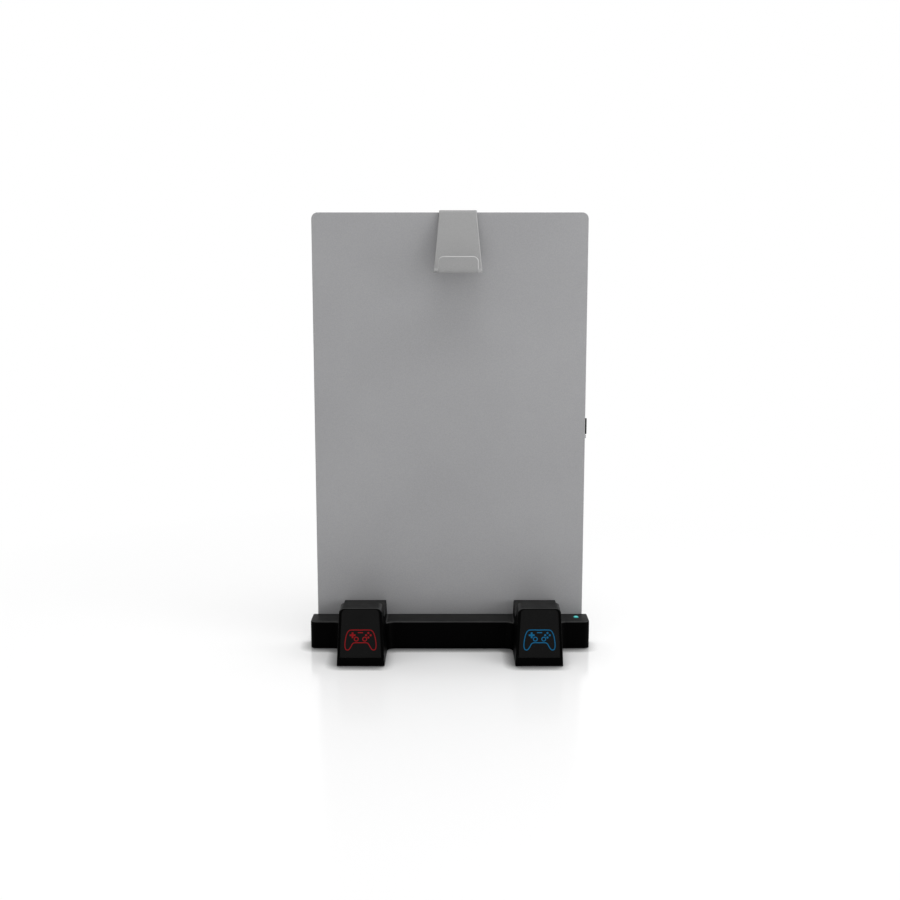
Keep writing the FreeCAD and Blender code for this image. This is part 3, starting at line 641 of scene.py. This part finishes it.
def new_piece(name, points, faces, material, slot_name, smooth=False):
    """A piece made of points in metres and faces, that rides on the stand.  Points that meet are merged,
    which closes the poles and seams, and then the faces are turned outwards."""
    mesh = bpy.data.meshes.new(name)
    mesh.from_pydata(points.tolist(), [], faces.tolist())
    shell = bmesh.new()
    shell.from_mesh(mesh)
    bmesh.ops.remove_doubles(shell, verts=shell.verts, dist=meeting)
    bmesh.ops.recalc_face_normals(shell, faces=shell.faces)
    shell.to_mesh(mesh)
    shell.free()
    mesh.polygons.foreach_set("use_smooth", np.full(len(mesh.polygons), smooth))
    if smooth:
        mesh.set_sharp_from_angle(angle=sharp_angle)
    mesh.materials.append(material)
    piece = bpy.data.objects.new(name, mesh)
    bpy.context.collection.objects.link(piece)
    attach(piece, "root")
    return piece


def joined(parts):
    """Several (points, faces) as one, each part's face numbers moved past the points before it."""
    counts = np.cumsum([0] + [len(points) for points, faces in parts])
    faces = np.concatenate([faces + start for (points, faces), start in zip(parts, counts)])
    return np.concatenate([points for points, faces in parts]), faces


def grid_faces(rows, columns):
    """Four-sided faces over a grid whose columns close into a ring and whose rows don't."""
    row, column = np.meshgrid(np.arange(rows - 1), np.arange(columns), indexing="ij")
    beside = (column + 1) % columns
    here = row * columns
    below = here + columns
    return np.stack([here + column, below + column, below + beside, here + beside], 2).reshape(-1, 4)


print("faces of a tube of 3 by 8 points:", len(grid_faces(3, 8)))

# %% Signs on their plates
face_lean = math.radians(6.0)
plate_thickness = 1.2 * mm
sign_height = 16.6 * mm
sign_reach = 20 * mm
print_thickness = 0.05
rightward = np.array([1.0, 0.0, 0.0])
up_slope = np.array([0.0, math.sin(face_lean), math.cos(face_lean)])
off_face = np.array([0.0, -math.cos(face_lean), math.sin(face_lean)])


def sign(name, plate, colour, edge):
    """The drawing laid on a plate: across, up the slope from the plate's lower front edge, and out of it."""
    low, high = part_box(plate)
    foot = np.array([(low.x + high.x) / 2, low.y, low.z + plate_thickness * math.sin(face_lean)])
    points, faces = joined([stroke(path, width, print_thickness, closed) for path, width, closed in drawing])
    x, y, z = np.split(points * mm, 3, axis=1)
    place = foot + x * rightward + (y + sign_height) * up_slope + z * off_face
    glow = glowing(name + "_glow", colour, edge, foot + sign_height * up_slope, sign_reach)
    new_piece(name, place, faces, glow, "lamp_white")
    print(name, "faces", len(faces), "middle in mm", in_mm(place.mean(0)))


sign("left_sign", "left_front_plate", (0.22, 0.005, 0.007, 1.0), (0.17, 0.004, 0.006, 1.0))
sign("right_sign", "right_front_plate", (0.004, 0.105, 0.225, 1.0), (0.003, 0.083, 0.18, 1.0))

# %% [markdown]
# ## Screws
#
# The solids give each screw a head with flats.  The real head is a low dome with a cross recess, and the
# shank has a thread.  Both are heights over a grid of angle and distance, so the cross is a dip in the height
# of the dome, and the thread a ripple in the radius of the shank.

# %% One screw
head_width, head_height = 5.6, 1.2
shank_width, shank_length, thread_pitch = 2.9, 9.0, 1.1
rim_share, recess_share = 0.45, 0.6
slot_side, slot_end = (0.07, 0.1), (0.26, 0.32)
thread_share, tip_share = 0.18, 0.25


def smooth_step(value, low, high):
    """A soft step from 0 below low to 1 above high."""
    t = np.clip((value - low) / (high - low), 0.0, 1.0)
    return t * t * (3 - 2 * t)


def screw(columns=72, crown_rows=30, thread_rows=60):
    """A pan-head screw along +z in millimetres, its seat at z = 0.  Head: distance and angle give a dome,
    lowered inside a cross.  Shank: angle and height give a radius that rises and falls once per pitch along
    a helix."""
    angle = np.linspace(0.0, 2 * np.pi, columns, endpoint=False)[None, :]
    reach = np.concatenate([[0.0], np.linspace(0.05, 1.0, crown_rows)])[:, None]
    x, y = reach * np.cos(angle) / 2, reach * np.sin(angle) / 2
    dome = rim_share + (1 - rim_share) * np.sqrt(np.clip(1 - reach**2, 0.0, 1.0))
    arm = 1 - smooth_step(np.minimum(abs(x), abs(y)), *slot_side)
    arm *= 1 - smooth_step(np.maximum(abs(x), abs(y)), *slot_end)
    crown = np.stack([x * head_width, y * head_width, head_height * (recess_share * arm - dome)], 2)
    level = np.linspace(0.0, shank_length, thread_rows)[:, None]
    ripple = 0.5 + 0.5 * np.cos(angle - 2 * np.pi * level / thread_pitch)
    taper = np.clip((shank_length - level) / (2 * thread_pitch), tip_share, 1.0)
    radius = shank_width / 2 * taper * (1 - thread_share * (1 - ripple))
    thread = np.stack([radius * np.cos(angle), radius * np.sin(angle), level + 0 * angle], 2)
    rim = crown[-1:] * (1.0, 1.0, 0.0)
    tip = thread[-1:] * (0.0, 0.0, 1.0)
    rows = np.concatenate([crown, rim, thread, tip])
    return rows.reshape(-1, 3), grid_faces(len(rows), columns)


screw_points, screw_faces = screw()
print("points in a screw:", len(screw_points), "height in mm:", np.ptp(screw_points[:, 2]))

# %% The two sets of screws that show
head_radius = head_width / 2 * mm
turned_back = [(1, 0, 0), (0, 0, -1), (0, 1, 0)]


def screw_set(name, node, seats, turn):
    """Copies of one screw, turned by a matrix and set on seats; they stand for a solid of the frame."""
    base = screw_points * mm @ np.asarray(turn, float).T
    copies = [(base + seat, screw_faces) for seat in seats]
    piece = new_piece(name, *joined(copies), plated_steel, "plated_steel", smooth=True)
    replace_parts(piece, node)
    print(name, "screws:", len(seats))


low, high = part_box("panel_screws")
seat_y = high.y - head_height * mm
middle_z = (low.z + high.z) / 2
panel_seats = [np.array([x, seat_y, middle_z]) for x in (low.x + head_radius, 0.0, high.x - head_radius)]
screw_set("panel_screw_set", "panel_screws", panel_seats, turned_back)

low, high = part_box("base_plate_screws")
tower_x = [sum(corner.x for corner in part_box(plate)) / 2 for plate in both("front_plate")]
seat_z = low.z + head_height * mm
bar_x = (low.x + head_radius, high.x - head_radius)
base_seats = [np.array([x, high.y - head_radius, seat_z]) for x in bar_x]
base_seats += [np.array([x, low.y + head_radius, seat_z]) for x in tower_x]
screw_set("base_screw_set", "base_plate_screws", base_seats, np.eye(3))

# %% [markdown]
# ## Rubber under the stand
#
# Two long rubber strips lie on the tray, and the stand rests on eight small round feet.  The solids give them
# as plain slabs and discs.  A real strip is extruded with ribs along it and has soft edges, and a real foot
# is turned: a low disc with a round shoulder and a shallow dish below.  So a strip is one section carried
# along its length, and a foot is one profile turned about an axis.

# %% Ribbed strips on the tray
pad_width = 12.0
rib_count, rib_share, crown_share = 5, 0.42, 0.16
end_power = 0.3


def ribbed_strip(length, width, height, turns=14, across=90):
    """A strip along x in millimetres, on z = 0.  Over the top, height falls with the fourth power of the
    distance from the middle and dips between the ribs by a cosine.  At each end the half width follows a
    circle."""
    theta = np.linspace(0.0, np.pi / 2, turns)
    cap = width / 2 * (1 - np.cos(theta))
    along = np.concatenate([cap - length / 2, length / 2 - cap[::-1]])[:, None]
    shrink = np.concatenate([np.sin(theta), np.sin(theta[::-1])])[:, None]
    side = np.linspace(-1.0, 1.0, across)
    dip = rib_share * (0.5 + 0.5 * np.cos(2 * np.pi * rib_count * (side + 1) / 2))
    top = (1 - crown_share * side**4) * (1 - dip)
    loop_y = np.concatenate([side, [1.0, -1.0]])[None, :] * width / 2 * shrink
    loop_z = np.concatenate([top, [0.0, 0.0]])[None, :] * height * shrink**end_power
    rows = np.stack([along + 0 * loop_y, loop_y, loop_z], 2)
    return rows.reshape(-1, 3), grid_faces(len(rows), rows.shape[1])


low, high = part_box("tray_pads")
pad_length, pad_height = (high.x - low.x) / mm, (high.z - low.z) / mm
pad_points, pad_faces = ribbed_strip(pad_length, pad_width, pad_height)
pad_y = (low.y + pad_width * mm / 2, high.y - pad_width * mm / 2)
pads = [(pad_points * mm + ((low.x + high.x) / 2, y, low.z), pad_faces) for y in pad_y]
ribbed = new_piece("ribbed_strips", *joined(pads), black_rubber, "black_rubber", smooth=True)
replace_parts(ribbed, "tray_pads")
print("strips of", round(pad_length, 1), "by", pad_width, "by", round(pad_height, 2), "mm")

# %% Turned feet
foot_radius = 5.0 * mm
foot_profile = np.array([(0.0, 1.0), (0.84, 1.0), (0.93, 0.94), (0.985, 0.8), (1.0, 0.6), (0.985, 0.35),
                         (0.94, 0.14), (0.87, 0.03), (0.79, 0.0), (0.66, 0.0), (0.58, 0.06), (0.5, 0.16),
                         (0.38, 0.22), (0.0, 0.26)])


def turned(profile, columns=64):
    """A profile of distance and height, turned about z: x and y are the distance times the cosine and the
    sine."""
    angle = np.linspace(0.0, 2 * np.pi, columns, endpoint=False)[None, :]
    reach, level = profile[:, :1], profile[:, 1:]
    rows = np.stack([reach * np.cos(angle), reach * np.sin(angle), level + 0 * angle], 2)
    return rows.reshape(-1, 3), grid_faces(len(rows), columns)


def foot_set(name, node, places):
    """Copies of one foot as high as a node of the frame, at places on the floor; they stand for that node."""
    low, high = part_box(node)
    points, faces = turned(foot_profile * (foot_radius, high.z - low.z))
    feet = [(points + (x, y, low.z), faces) for x, y in places]
    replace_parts(new_piece(name, *joined(feet), black_rubber, "black_rubber", smooth=True), node)
    print(name, [in_mm(place) for place in places])


low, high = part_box("tray_feet")
tray_places = [(x, y) for x in (low.x + foot_radius, high.x - foot_radius)
               for y in (low.y + foot_radius, high.y - foot_radius)]
foot_set("tray_foot_set", "tray_feet", tray_places)

low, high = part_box("dock_feet")
dock_places = [(x, high.y - foot_radius) for x in (low.x + foot_radius, high.x - foot_radius)]
dock_places += [(x, low.y + foot_radius) for x in tower_x]
foot_set("dock_foot_set", "dock_feet", dock_places)

# %% [markdown]
# ## The cable clip
#
# The clip is stuck to the rear of the panel and shows as a thin black bar past its right edge.  It is
# moulded, so its edges and lips are round and its outer wall, which takes the knocks, is thicker than the
# rest.  Both halves of the clip are a band: a rounded section carried along a path in plan, whose thickness
# runs out at the lips.

# %% A band
clip_round = 0.55


def rounded_band(path, outward, thick, height, corners=24):
    """A band along a path in plan, in millimetres: each section is a rectangle with four quarter circles at
    its corners, thick along the outward direction and as high as the band.  Over the last half thickness of
    either end, the thickness follows a circle down to nothing."""
    step = np.linalg.norm(np.diff(path, axis=0), axis=1)
    done = np.concatenate([[0.0], np.cumsum(step)])
    to_end = np.minimum(done, done[-1] - done)
    ease = np.clip(1 - to_end / (thick / 2), 0.0, 1.0)
    thick = (thick * np.sqrt(1 - ease**2))[:, None]
    turn = (np.arange(corners) + 0.5)[None, :] * 2 * np.pi / corners
    radius = np.minimum(clip_round, thick / 2)
    off = np.sign(np.cos(turn)) * (thick / 2 - radius) + radius * np.cos(turn)
    up = np.sign(np.sin(turn)) * (height / 2 - radius) + radius * np.sin(turn)
    plan = path[:, None, :] + off[:, :, None] * outward[:, None, :]
    rows = np.concatenate([plan, up[:, :, None]], 2)
    return rows.reshape(-1, 3), grid_faces(len(rows), corners)


print("corners of a clip are round by", clip_round, "mm")

# %% Clip
clip_bore, clip_skin, clip_swell = 3.1, 1.5, 0.75
clip_mouth, clip_pad = 3.6, 12.0
pad_steps = 13


def clip_half(first, last, swell, steps=60):
    """Half of the ring from one angle to another: its bore is a circle, and its wall swells with the square
    of the cosine."""
    angle = np.linspace(first, last, steps)
    outward = np.stack([np.cos(angle), np.sin(angle)], 1)
    thick = clip_skin + swell * np.cos(angle) ** 2
    return outward * (clip_bore + thick / 2)[:, None], outward, thick


front = -np.pi / 2
lip = math.asin(clip_mouth / 2 / (clip_bore + clip_skin / 2))
pad_run = np.linspace(0.0, 1.0, pad_steps) ** 2 * clip_skin / 2
pad_path = np.stack([pad_run - clip_pad, 0 * pad_run - (clip_bore + clip_skin / 2)], 1)
right_path, right_out, right_thick = clip_half(front, np.pi / 2 - lip, clip_swell)
path = np.concatenate([pad_path, right_path])
outward = np.concatenate([np.tile((0.0, -1.0), (len(pad_path), 1)), right_out])
thick = np.concatenate([np.full(len(pad_path), clip_skin), right_thick])

low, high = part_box("cable_clip")
clip_height = (high.z - low.z) / mm
centre = np.array([low.x + clip_pad * mm, low.y + (clip_bore + clip_skin) * mm, (low.z + high.z) / 2])
halves = [rounded_band(path, outward, thick, clip_height)]
halves += [rounded_band(*clip_half(front, lip - 3 * np.pi / 2, 0.0), clip_height)]
clip = [(points * mm + centre, faces) for points, faces in halves]
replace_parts(new_piece("moulded_clip", *joined(clip), black_case, "black_abs", smooth=True), "cable_clip")
print("clip centre in mm", in_mm(centre), "height", round(clip_height, 2))

# %% [markdown]
# ## Strips in the power socket
#
# The tongue in the socket carries two rows of gilt strips.  Each strip is a thin slab, and all of them are
# one slab repeated over a row of places.

# %% Socket strips
tongue_thick = 0.7 * mm
strip_count, strip_pitch, strip_inset = 11, 0.55 * mm, 0.4 * mm
strip_length, strip_half_width, strip_half_thick = 4.2, 0.13, 0.02

slab = np.array([(x, y, z) for x in (0.0, strip_length) for y in (-strip_half_width, strip_half_width)
                 for z in (-strip_half_thick, strip_half_thick)]) * mm
slab_faces = np.array([(0, 1, 3, 2), (4, 6, 7, 5), (0, 4, 5, 1), (2, 3, 7, 6), (0, 2, 6, 4), (1, 5, 7, 3)])
low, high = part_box("power_inlet_core")
middle = (low + high) / 2
strip_y = middle.y + (np.arange(strip_count) - strip_count // 2) * strip_pitch
strip_z = (middle.z - tongue_thick / 2, middle.z + tongue_thick / 2)
strips = [(slab + (low.x + strip_inset, y, z), slab_faces) for z in strip_z for y in strip_y]
new_piece("socket_strips", *joined(strips), gilt, "gilt_contact")
print("strips:", len(strips))

# %% Sizes, and the end of the lesson
dressed_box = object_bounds()
print("dressed box in mm:", in_mm(b - a for a, b in zip(*dressed_box)))
